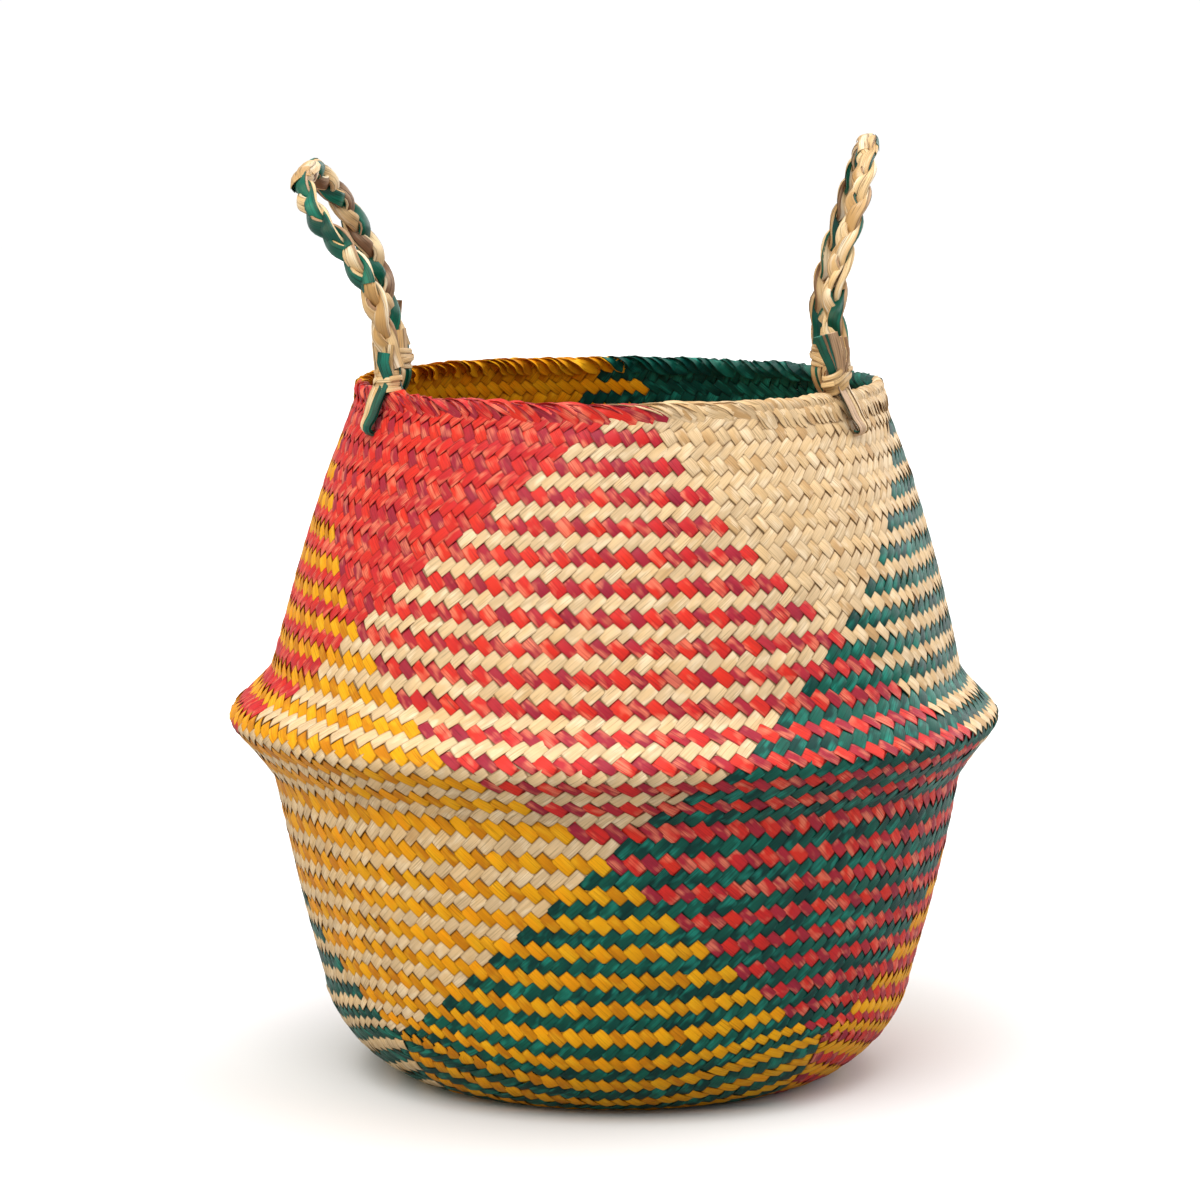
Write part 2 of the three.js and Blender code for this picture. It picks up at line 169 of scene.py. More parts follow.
def set_stage():
    """The camera, the lamps, the white room and the floor."""
    camera_data = bpy.data.cameras.new("camera")
    camera_data.sensor_width = 36
    camera_data.lens = LENS
    camera_data.clip_end = 50
    camera = bpy.data.objects.new("camera", camera_data)
    camera.location = CAMERA_PLACE
    camera.rotation_euler = (math.radians(90) - CAMERA_DIP, 0, 0)
    bpy.context.scene.collection.objects.link(camera)
    bpy.context.scene.camera = camera
    bpy.context.scene.view_settings.view_transform = "Standard"

    world = bpy.data.worlds.new("studio")
    world.use_nodes = True
    nodes, links = world.node_tree.nodes, world.node_tree.links
    backdrop = nodes["Background"]
    backdrop.inputs["Color"].default_value = (1, 1, 1, 1)
    seen = nodes.new("ShaderNodeLightPath")
    strength = nodes.new("ShaderNodeMapRange")
    set_inputs(strength, dict(zip(("To Min", "To Max"), ROOM_STRENGTHS)))
    links.new(seen.outputs["Is Camera Ray"], strength.inputs["Value"])
    links.new(strength.outputs[0], backdrop.inputs["Strength"])
    bpy.context.scene.world = world

    for name, (way, spread, power, colour) in LAMPS.items():
        light_data = bpy.data.lights.new(name, "SUN")
        light_data.angle = math.radians(spread)
        light_data.energy = power
        light_data.color = colour
        light = bpy.data.objects.new(name, light_data)
        light.rotation_euler = Vector(way).to_track_quat("-Z", "Y").to_euler()
        bpy.context.scene.collection.objects.link(light)

    bpy.ops.mesh.primitive_plane_add(size=12, location=(0, 0, 0))
    floor = bpy.context.object
    floor.name = "floor"
    floor_finish = bpy.data.materials.new("floor_white")
    floor_finish.use_nodes = True
    nodes, links = floor_finish.node_tree.nodes, floor_finish.node_tree.links
    surface = nodes["Principled BSDF"]
    seen = nodes.new("ShaderNodeLightPath")
    shade = nodes.new("ShaderNodeMix")
    shade.data_type = "RGBA"
    for socket, grey in zip("AB", FLOOR_GREYS):
        shade.inputs[socket].default_value = (grey, grey, grey, 1)
    links.new(seen.outputs["Is Camera Ray"], shade.inputs["Factor"])
    links.new(shade.outputs["Result"], surface.inputs["Base Color"])
    set_inputs(surface, {"Roughness": 0.9, "Specular IOR Level": 0.0})
    floor.data.materials.append(floor_finish)
    bpy.ops.object.select_all(action="DESELECT")


def math_node(tree, kind, a, b=None, clamp=False):
    """A Math node on numbers or sockets; gives its output."""
    node = tree.nodes.new("ShaderNodeMath")
    node.operation = kind
    node.use_clamp = clamp
    for place, value in enumerate((a, b)):
        if isinstance(value, (int, float)):
            node.inputs[place].default_value = value
        elif value is not None:
            tree.links.new(value, node.inputs[place])
    return node.outputs[0]


def shared_fibre():
    """Lines, splits, patches, drift and edges of a leaf, from the UV map and the leaf's own grain."""
    group = bpy.data.node_groups.new("leaf_fibre", "ShaderNodeTree")
    group.interface.new_socket(name="UV", in_out="INPUT", socket_type="NodeSocketVector")
    for name, value in (("Grain", 0.5), ("Line Count", 18.0), ("Patch Count", 11.0)):
        socket = group.interface.new_socket(name=name, in_out="INPUT", socket_type="NodeSocketFloat")
        socket.default_value = value
    for name in ("Lines", "Splits", "Patches", "Drift", "Edge"):
        group.interface.new_socket(name=name, in_out="OUTPUT", socket_type="NodeSocketFloat")
    nodes, links = group.nodes, group.links
    into = nodes.new("NodeGroupInput")
    out = nodes.new("NodeGroupOutput")
    split = nodes.new("ShaderNodeSeparateXYZ")
    links.new(into.outputs["UV"], split.inputs[0])
    across, along = split.outputs[0], split.outputs[1]
    shift = math_node(group, "MULTIPLY", into.outputs["Grain"], 613.0)

    for name, across_count, along_count, detail, aside in (
        ("Lines", into.outputs["Line Count"], 3.5, 2.0, 0.0),
        ("Splits", 10.0, 5.5, 1.0, 17.3),
        ("Patches", 1.3, into.outputs["Patch Count"], 1.0, 31.7),
        ("Drift", 0.4, 3.0, 1.0, 47.1),
    ):
        place = nodes.new("ShaderNodeCombineXYZ")
        links.new(math_node(group, "MULTIPLY", across, across_count), place.inputs[0])
        links.new(math_node(group, "MULTIPLY", along, along_count), place.inputs[1])
        links.new(math_node(group, "ADD", shift, aside), place.inputs[2])
        noise = nodes.new("ShaderNodeTexNoise")
        set_inputs(noise, {"Scale": 1.0, "Detail": detail})
        links.new(place.outputs[0], noise.inputs["Vector"])
        links.new(noise.outputs["Fac"], out.inputs[name])
    off_middle = math_node(group, "ABSOLUTE", math_node(group, "SUBTRACT", across, 0.5))
    off_middle = math_node(group, "MULTIPLY", off_middle, 2.0)
    links.new(math_node(group, "POWER", off_middle, 8.0, clamp=True), out.inputs["Edge"])
    return group


FIBRE = shared_fibre()

# Finishes: shades, pale, amounts, edge shade (colour of the painted shade at edges and dive ends), roughness
# and gloss; for loose leaves also coat, lines, patches
FINISH_VALUES = {
    "natural_strip": (
        [(0.59, 0.355, 0.155), (0.75, 0.505, 0.25), (0.81, 0.57, 0.31), (0.70, 0.50, 0.285)],
        (0.94, 0.76, 0.52), (0.7, 0.42, 0.4, 0.7, 0.85), (0.18, 0.085, 0.025), 0.5, 0.18),
    "red_strip": (
        [(0.34, 0.017, 0.040), (0.44, 0.020, 0.038), (0.64, 0.021, 0.020), (0.75, 0.032, 0.015)],
        (0.92, 0.27, 0.15), (0.75, 0.10, 0.5, 0.65, 0.8), (0.11, 0.003, 0.006), 0.42, 0.2),
    # On the green strips the pale patches are partly bleached leaf and partly a painted highlight: pale and
    # its amount were raised to stand in for gloss
    "green_strip": (
        [(0.002, 0.050, 0.036), (0.003, 0.075, 0.052), (0.002, 0.040, 0.034), (0.006, 0.11, 0.075)],
        (0.02, 0.34, 0.25), (0.62, 0.3, 0.6, 0.65, 0.8), (0.0005, 0.008, 0.006), 0.32, 0.16),
    "mustard_strip": (
        [(0.60, 0.21, 0.004), (0.76, 0.31, 0.004), (0.86, 0.40, 0.006), (0.90, 0.34, 0.004)],
        (0.94, 0.52, 0.02), (0.5, 0.25, 0.4, 0.65, 0.8), (0.14, 0.04, 0.002), 0.42, 0.12),
    "natural_leaf": (
        [(0.52, 0.30, 0.11), (0.74, 0.49, 0.23), (0.85, 0.65, 0.37), (0.76, 0.46, 0.18)],
        (0.97, 0.86, 0.66), (0.85, 0.25, 0.9, 0.85, 0.6), (0.07, 0.030, 0.012), 0.42, 0.25, 0.1, 12.0, 5.0),
    "green_leaf": (
        [(0.001, 0.07, 0.042), (0.002, 0.12, 0.074), (0.001, 0.05, 0.036), (0.002, 0.155, 0.095)],
        (0.02, 0.34, 0.23), (0.6, 0.3, 0.8, 0.6, 0.6), (0.006, 0.010, 0.006), 0.28, 0.25, 0.25, 12.0, 5.0),
    "raffia": (
        [(0.56, 0.33, 0.12), (0.75, 0.48, 0.21), (0.84, 0.58, 0.28), (0.70, 0.42, 0.17)],
        (0.97, 0.78, 0.50), (0.6, 0.3, 0.8, 0.7, 0.6), (0.22, 0.11, 0.04), 0.4, 0.35, 0.1, 9.0, 7.0),
    "brown_leaf": (
        [(0.16, 0.075, 0.035), (0.40, 0.22, 0.11), (0.54, 0.33, 0.18), (0.64, 0.42, 0.25)],
        (0.74, 0.52, 0.34), (0.5, 0.1, 0.7, 0.5, 0.6), (0.04, 0.018, 0.008), 0.5, 0.3, 0.0, 12.0, 5.0),
}


def leaf_finish(name, shades, pale, amounts, edge_shade, rough, gloss, coat=0.0, lines=18.0, patches=11.0):
    """A leaf's finish. shades run over the leaf's tone, and pale is its bleached patch; on the green strips
    pale is partly a painted highlight. amounts say how strongly patches, drift along the leaf, splits, edges
    and the float ends where a strip dives under show; edges and dive ends are painted shade, the edges partly
    also the leaf's own darker edge."""
    finish = bpy.data.materials.new(name)
    finish.use_nodes = True
    tree = finish.node_tree
    nodes, links = tree.nodes, tree.links
    surface = nodes["Principled BSDF"]

    def own(attribute):
        node = nodes.new("ShaderNodeAttribute")
        node.attribute_name = attribute
        return node.outputs["Fac"]

    mapped = nodes.new("ShaderNodeUVMap")
    fibre = nodes.new("ShaderNodeGroup")
    fibre.node_tree = FIBRE
    set_inputs(fibre, {"Line Count": lines, "Patch Count": patches})
    links.new(mapped.outputs[0], fibre.inputs["UV"])
    links.new(own("grain"), fibre.inputs["Grain"])

    def level(source, low, high, bottom, top):
        node = nodes.new("ShaderNodeMapRange")
        set_inputs(node, {"From Min": low, "From Max": high, "To Min": bottom, "To Max": top})
        links.new(source, node.inputs["Value"])
        return node.outputs[0]

    def tint(colour, mask, shade):
        node = nodes.new("ShaderNodeMix")
        node.data_type = "RGBA"
        links.new(mask, node.inputs["Factor"])
        links.new(colour, node.inputs["A"])
        node.inputs["B"].default_value = (*shade, 1)
        return node.outputs["Result"]

    fibre_lines, splits, fibre_patches, drift, edge = fibre.outputs
    patch_amount, drift_amount, split_amount, edge_amount, dive_shade_amount = amounts
    ramp = nodes.new("ShaderNodeValToRGB")
    while len(ramp.color_ramp.elements) < len(shades):
        ramp.color_ramp.elements.new(0.5)
    for place, (element, shade) in enumerate(zip(ramp.color_ramp.elements, shades)):
        element.position = place / (len(shades) - 1)
        element.color = (*shade, 1)
    drifted = level(drift, 0.3, 0.7, -drift_amount, drift_amount)
    links.new(math_node(tree, "ADD", own("tone"), drifted, True), ramp.inputs[0])
    bleached = level(fibre_patches, 0.50, 0.68, 0.0, patch_amount)
    bleached = math_node(tree, "MULTIPLY", bleached, level(fibre_lines, 0.35, 0.6, 0.35, 1.0), True)
    colour = tint(ramp.outputs["Color"], bleached, pale)
    dark = tuple(0.3 * value for value in shades[0])
    colour = tint(colour, level(splits, 0.37, 0.28, 0.0, split_amount), dark)
    colour = tint(colour, level(fibre_lines, 0.5, 0.3, 0.0, 0.38), dark)
    # Painted shade, partly also the leaf's own darker edge: each strip's edges are darkened towards
    # edge_shade, standing in for the dark gaps between strips
    edge_colour_and_shade = level(edge, 0.0, 1.0, 0.0, edge_amount)
    edge_colour_and_shade = math_node(tree, "MULTIPLY", edge_colour_and_shade, level(drift, 0.35, 0.55, 0.5, 1.0), True)
    colour = tint(colour, edge_colour_and_shade, edge_shade)
    # Painted shade: the ends of each float, where the strip dives under a crossing strip, are darkened
    # towards edge_shade
    colour = tint(colour, level(own("dive_shade"), 0.42, 1.0, 0.0, dive_shade_amount), edge_shade)
    links.new(colour, surface.inputs["Base Color"])

    links.new(level(fibre_lines, 0.2, 0.8, rough + 0.12, rough - 0.08), surface.inputs["Roughness"])
    relief = nodes.new("ShaderNodeBump")
    set_inputs(relief, {"Strength": 0.5, "Distance": 0.0003})
    links.new(fibre_lines, relief.inputs["Height"])
    links.new(relief.outputs[0], surface.inputs["Normal"])
    set_inputs(surface, {"Specular IOR Level": gloss, "Coat Weight": coat, "Coat Roughness": 0.3})
    return finish


FINISHES = {name: leaf_finish(name, *values) for name, values in FINISH_VALUES.items()}


class Ribbons:
    """Ribbons of one finish, gathered into one piece. Each is a closed band with a face on both sides."""

    def __init__(self):
        self.points = []
        self.faces = []
        self.maps = []
        self.own = {"tone": [], "grain": [], "dive_shade": []}
        self.count = 0

    def lay(self, centre, side, out, half_width, bulge, edge, tone, dive_shade=0.0):
        """Adds a ribbon through centre, with side across it and out up from its face, all in millimetres."""
        half = side * np.broadcast_to(half_width, len(centre))[:, None]
        left, right = centre - half, centre + half
        rise, lip = out * bulge, out * edge
        ring = [left + lip, centre + rise, right + lip, right - lip, centre - rise, left - lip]
        self.join(np.stack(ring, axis=1), (0.0, 0.5, 1.0, 1.0, 0.5, 0.0), centre, side, out, tone, dive_shade)

    def wrap(self, centre, side, out, half_width, half_depth, first, last, lift, tone):
        """Adds a leaf curled round a bundle: it lies on the bundle's oval from one angle to another."""
        share = np.linspace(0, 1, 7)
        sway, rise = pressed_round(first[:, None] + (last - first)[:, None] * share, 0.8)
        thin = lift[:, None] - 0.34 + 0.2 * (2 * np.abs(share - 0.5)) ** 4

        def skin(over):
            wide, deep = sway * (half_width[:, None] + over), rise * (half_depth[:, None] + over)
            return centre[:, None] + side[:, None] * wide[..., None] + out[:, None] * deep[..., None]

        ring = np.concatenate([skin(lift[:, None]), skin(thin)[:, ::-1]], axis=1)
        self.join(ring, (*share, *share[::-1]), centre, side, out, tone, 0.0)

    def join(self, ring, across, centre, side, out, tone, dive_shade):
        """Joins the rings of points into a closed ribbon."""
        number, corners = ring.shape[:2]
        run = np.repeat(run_along(centre)[:, None], corners, 1)
        mapped = np.stack([np.broadcast_to(across, (number, corners)), run / 100], axis=2)
        first = self.count
        turn = np.arange(corners)
        rows = first + corners * np.arange(number - 1)[:, None]
        lower = rows + turn[None, :]
        turned = rows + (turn[None, :] + 1) % corners
        quads = np.stack([lower, lower + corners, turned + corners, turned], axis=2).reshape(-1, 4)
        faces = [*quads.tolist(), lower[0].tolist(), (lower[-1] + corners)[::-1].tolist()]
        if np.dot(np.cross(side[0], centre[1] - centre[0]), out[0]) > 0:
            faces = [face[::-1] for face in faces]
        self.points.append(ring.reshape(-1, 3))
        self.faces.extend(faces)
        self.maps.append(mapped.reshape(-1, 2))
        self.own["tone"].append(np.repeat(np.broadcast_to(tone, number), corners))
        self.own["grain"].append(np.full(corners * number, chance.random()))
        self.own["dive_shade"].append(np.repeat(np.broadcast_to(dive_shade, number), corners))
        self.count += corners * number

    def piece(self, name, finish, body=None, replaces=()):
        """Makes the gathered ribbons one object, with its finish, body and the nodes it replaces. Brown
        leaves are natural ones that have darkened; they have a brown_leaf finish of their own."""
        mesh = bpy.data.meshes.new(name)
        mesh.from_pydata((np.concatenate(self.points) * MM).tolist(), [], self.faces)
        mapped = np.concatenate(self.maps)
        corners = np.zeros(len(mesh.loops), dtype=np.int32)
        mesh.loops.foreach_get("vertex_index", corners)
        layer = mesh.uv_layers.new(name="UVMap")
        layer.data.foreach_set("uv", mapped[corners].astype(np.float32).ravel())
        for name_of, values in self.own.items():
            attribute = mesh.attributes.new(name_of, "FLOAT", "POINT")
            attribute.data.foreach_set("value", np.concatenate(values).astype(np.float32))
        mesh.materials.append(FINISHES[finish])
        made = bpy.data.objects.new(name, mesh)
        bpy.context.scene.collection.objects.link(made)
        bpy.context.view_layer.objects.active = made
        made.select_set(True)
        bpy.ops.object.shade_smooth_by_angle(angle=math.radians(35))
        made.select_set(False)
        if body:
            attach(made, body)
        if replaces:
            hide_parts(*replaces)
        return made


def wall_outline():
    """Outer outline from the middle of the base to the rim, with softened creases: the run along it, and
    the radius, the height and the slope in both at each place."""
    corners = [(0.0, 0.0), (FLAT_RADIUS, 0.0)]
    for step in range(1, 61):
        angle = math.pi / 2 * step / 60
        out = math.sin(angle) ** (2 / TURN_POWER)
        up = max(0.0, math.cos(angle)) ** (2 / TURN_POWER)
        corners.append((FLAT_RADIUS + (TURN_RADIUS - FLAT_RADIUS) * out, TURN_HEIGHT * (1 - up)))
    stretches = (
        ((TURN_RADIUS, TURN_HEIGHT), FOLD_FOOT, WALL_BULGE),
        (FOLD_FOOT, RIDGE, 0),
        (RIDGE, SHOULDER, 0),
        (SHOULDER, COLLAR, WALL_BULGE),
        (COLLAR, RIM, 0),
    )
    for start, end, bulge in stretches:
        for step in range(1, 31):
            t = step / 30
            radius = start[0] + (end[0] - start[0]) * t + bulge * math.sin(math.pi * t)
            corners.append((radius, start[1] + (end[1] - start[1]) * t))
    corners = np.array(corners)
    run = run_along(corners)
    even = np.arange(0, run[-1] + 0.25, 0.5)
    radius, height = points_at(even, run, corners).T
    reach = 24
    at_ridge = even[np.argmax(radius)]

    def soften(values, mirror, spread):
        weight = np.exp(-(np.arange(-reach, reach + 1) / spread) ** 2)
        front = mirror * values[reach:0:-1]
        back = 2 * values[-1] - values[-2:-reach - 2:-1]
        return np.convolve(np.concatenate([front, values, back]), weight / weight.sum(), mode="valid")

    near_ridge = np.exp(-((even - at_ridge) / 13) ** 4)
    radius = soften(radius, -1, 4.0) * (1 - near_ridge) + (soften(radius, -1, 11.0) + 1.3) * near_ridge
    height = soften(height, 1, 4.0) * (1 - near_ridge) + soften(height, 1, 11.0) * near_ridge
    slope = unit(np.stack([np.gradient(radius), np.gradient(height)], axis=1))
    return even, (radius, height, *slope.T)


OUTLINE_RUN, OUTLINE = wall_outline()
RIM_RUN = OUTLINE_RUN[-1]


def unevenness(angle, height):
    """How far the handmade wall stands in or out of its true round, in mm."""
    sway = 0.55 * np.sin(3 * angle + 0.7) + 0.45 * np.sin(5 * angle + height / 40)
    sway = sway + 0.3 * np.sin(11 * angle + 2)
    left_swell = 3.0 * np.clip(-np.cos(angle), 0, 1) ** 2 * np.exp(-((height - 172) / 26) ** 2)
    return sway * np.clip((height - 30) / 120, 0, 1) + left_swell


def on_wall(azimuth, run):
    """Point on the wall's middle surface and the outward direction there; azimuth in degrees."""
    run = np.clip(run, 0, RIM_RUN)
    radius, height, along_r, along_z = (np.interp(run, OUTLINE_RUN, values) for values in OUTLINE)
    size = np.hypot(along_r, along_z)
    out_r, out_z = along_z / size, -along_r / size
    angle = np.radians(azimuth)
    radius = radius - out_r * WALL / 2 + unevenness(angle, height)
    height = height - out_z * WALL / 2
    return about_axis(radius, angle, height), about_axis(out_r, angle, out_z)


def pattern_turn(depth):
    return np.interp(depth, TURN_DEPTHS, TURNS)


def towards_corner(share):
    """0 in the middle of a side of the base, rising to 1 at its corners."""
    return ((1 - np.cos(math.pi * share)) / 2) ** 1.2


def wall_place(around, depth):
    """Point on the wall for a place in the plait: strips around, and depth below the rim in strips."""
    share = ((around + BASE_HALF) % (2 * BASE_HALF) - BASE_HALF) / BASE_HALF
    rise = np.interp(depth, RISE_DEPTHS, RISES)
    run = np.interp(depth, ROW_DEPTHS, ROW_RUNS) + rise * towards_corner(share)
    return on_wall(-90 + STRIP_ANGLE * around + pattern_turn(depth), run)


def base_place(x, y):
    """Point on the base for a place in its square of the plait."""
    reach = np.maximum(np.maximum(np.abs(x), np.abs(y)), 1e-6)
    quarter = np.where(-y >= np.abs(x), 0, np.where(x >= np.abs(y), 1, np.where(y >= np.abs(x), 2, 3)))
    share = np.choose(quarter, [x, y, -x, -y]) / reach
    weight = (reach / BASE_HALF) ** 2
    square_angle = np.degrees(np.arctan(share))
    square_run = reach * BASE_PITCH * np.sqrt(1 + share**2)
    edge_run = (EDGE_RUN + CORNER_LIFT * towards_corner(share)) * reach / BASE_HALF
    azimuth = -90 + 90 * quarter + square_angle * (1 - weight) + 45 * share * weight
    run = square_run * (1 - weight) + edge_run * weight
    return on_wall(azimuth + pattern_turn(BASE_DEPTH + BASE_HALF - reach), run)


def strip_place(face, line, step, aside=0.0):
    """Point of a whole strip, from the rim down, across the base and up again. line is its number on its
    face, 32 to 64; step counts crossings; aside is how many strips to one side."""
    wall_steps = 2 * BASE_DEPTH
    base_line = line - HALF_ROUND
    base_steps = 2 * base_line + HALF_ROUND
    step = np.asarray(step, float)
    depth_down = np.clip(step, 0, wall_steps) / 2
    around = line + aside / 2 - depth_down + QUARTER * face
    here, out = wall_place(around, depth_down + aside / 2)
    depth_up = np.clip(2 * wall_steps + base_steps - step, 0, wall_steps) / 2
    rising = -2 * BASE_DEPTH - base_line
    here_up, out_up = wall_place(rising + depth_up + QUARTER * face - aside / 2, depth_up + aside / 2)
    other = -base_line - QUARTER + (step - wall_steps)
    own = base_line + aside
    x, y = (own - other) / 2, (own + other) / 2
    here_base, out_base = base_place(np.choose(face, [x, -y, -x, y]), np.choose(face, [y, x, -y, -x]))
    down = (step < wall_steps)[:, None]
    up = (step > wall_steps + base_steps)[:, None]
    here = np.where(down, here, np.where(up, here_up, here_base))
    return here, np.where(down, out, np.where(up, out_up, out_base))


def strip_layers(line):
    """For each crossing of a strip, 1 where it lies outside and -1 where it lies inside."""
    wall_steps = int(2 * BASE_DEPTH)
    base_line = line - HALF_ROUND
    down = [1 if n % 4 in (2, 3) else -1 for n in range(wall_steps + 1)]
    across = []
    other = -base_line - QUARTER + 1
    while other < base_line + QUARTER - 0.5:
        x, y = (base_line - other) / 2, (base_line + other) / 2
        count = -round(2 * max(abs(x), abs(y)))
        layer = 1 if abs(y) > abs(x) else -1
        across.append(layer if count % 4 in (2, 3) else -layer)
        other += 1
    up = [1 if n % 4 in (0, 1) else -1 for n in range(wall_steps, -1, -1)]
    return down + across + up


def strip_stations(layers, first, last):
    """Stations along a strip, with the height of the strip in layers and its relative width."""
    stations = []
    for n, layer in enumerate(layers):
        turns_before = n > 0 and layers[n - 1] != layer
        turns_after = n + 1 < len(layers) and layers[n + 1] != layer
        if turns_before and turns_after:
            stations.append((n, 1.0 * layer, 1.06))
        elif turns_before or turns_after:
            stations.append((n + (0.2 if turns_after else -0.2), 0.95 * layer, 1.08))
        else:
            stations.append((n, 1.2 * layer, 1.1))
        stations.append((n + 0.5, 0.0, 1.05) if turns_after else (n + 0.5, 1.2 * layer, 1.1))
    return np.array([row for row in stations if first <= row[0] <= last]).T


def strip_length(line):
    """How many crossings a whole strip has, from rim to rim."""
    return 4 * BASE_DEPTH + 2 * (line - HALF_ROUND) + HALF_ROUND


def lay_strip(ribbons, face, line, wide, tone, begin=STRIP_END, finish=STRIP_END):
    """Lays one strip from begin to finish, both counted in crossings from its ends. On its first side it
    has a tone of its own, which fades into the given tone on the way under the base."""
    steps, heights, widths = strip_stations(strip_layers(line), begin, strip_length(line) - finish)
    here, out = strip_place(face, line, steps)
    along = unit(strip_place(face, line, steps + 0.2)[0] - strip_place(face, line, steps - 0.2)[0])
    gap = strip_place(face, line, steps, 0.5)[0] - strip_place(face, line, steps, -0.5)[0]
    gap = gap - along * np.sum(gap * along, axis=1)[:, None]
    pitch = np.linalg.norm(gap, axis=1)
    out = square_to(out, along)
    side = np.cross(along, out)
    side = unit(side + out * wander(steps, 3.0, 0.08)[:, None])
    out = np.cross(side, along)
    half_width = np.clip(pitch, 2.5, 7.5) * widths * wide * wander(steps, 1.5, 0.04, 1) / 2
    drift = wander(steps, 5.0, 0.16)
    centre = here + out * (heights * LAYER)[:, None] + side * drift[:, None]
    fade = np.clip((steps - 90) / 30, 0, 1)
    own_tone = (0.62 + 0.34 * chance.random()) * (1 - fade) + tone * fade + wander(steps, 2.5, 0.10)
    # Painted shade: 1 at the stations where the strip dives under a crossing strip, where the finish darkens
    # the float ends
    dive_shade = np.where(np.abs(heights) < 0.5, 1.0, 0.0)
    ribbons.lay(centre, side, out, half_width, STRIP_BULGE, STRIP_EDGE, np.clip(own_tone, 0, 1), dive_shade)


WALL_NODES = ("base_mat", "lower_wall", "belly_fold", "shoulder_wall", "collar_wall")


def plait_wall():
    """The 128 strips, each in one colour from rim to rim, 32 strips to a colour; broad and narrow take
    turns. One natural strip is pieced on with red just under the rim."""
    sets = {colour: Ribbons() for colour in ("green", "mustard", "red", "natural")}
    for face, colour in enumerate(sets):
        for n in range(QUARTER):
            broad = n % 2 == 0
            line = QUARTER + 0.5 + n
            wide = (BROAD if broad else NARROW) + chance.normal(0, 0.025)
            tone = (0.62 if broad else 0.0) + 0.36 * chance.random()
            if colour == "natural" and n == QUARTER - 1:
                lay_strip(sets[colour], face, line, wide, tone, finish=PIECED_LENGTH)
                lay_strip(sets["red"], face, line, wide, tone, begin=strip_length(line) - PIECED_LENGTH - 0.4)
            else:
                lay_strip(sets[colour], face, line, wide, tone)
    for colour, ribbons in sets.items():
        made = ribbons.piece(f"{colour}_strips", f"{colour}_strip", replaces=WALL_NODES)
        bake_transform(made)


# Rim: the strips' ends folded over the edge, lying along it like shingles. The way of a fold: out, and up
RIM_WAY = np.array([
    (0.9, -7.6), (1.3, -5.2), (1.45, -2.8), (1.1, -0.8), (0.0, -0.1),
    (-1.1, -0.7), (-1.4, -2.3), (-1.3, -4.5), (-0.5, -6.8),
])
RIM_SHIFT = 3.0
FOLD_SLANTS = {"green": 11.0, "mustard": 11.0, "red": 17.0, "natural": 19.0}
FOLD_WIDTHS = {"green": (3.5, 3.1), "mustard": (3.5, 3.1), "red": (3.15, 2.6), "natural": (3.3, 2.7)}
FOLD_LAPS = {"green": 0.09, "mustard": 0.09, "red": 0.12, "natural": 0.12}
# Small knuckles take the place of the long folds from the tenth natural strip on, in two rows
KNUCKLE_START = 9
KNUCKLE_HALF = 1.95
KNUCKLE_SLANT = 6.5
KNUCKLE_DROPS = (0.0, -4.3)
RIM_CORE_DROP = -4.2
RIM_CORE_HALF = 3.4


def lay_rim_core(ribbons, start):
    """The strip that runs inside the folds of one colour, along the edge."""
    azimuth = np.radians(start + np.linspace(0.5, 89.5, 60))
    radius = RIM_MIDDLE + RIM_SLOPE * RIM_CORE_DROP + unevenness(azimuth, RIM[1])
    centre = about_axis(radius, azimuth, np.full_like(azimuth, RIM[1] + RIM_CORE_DROP))
    side = unit(about_axis(RIM_SLOPE, azimuth, np.ones_like(azimuth)))
    out = unit(about_axis(1.0, azimuth, np.full_like(azimuth, -RIM_SLOPE)))
    ribbons.lay(centre, side, out, RIM_CORE_HALF, 0.4, 0.2, 0.4)


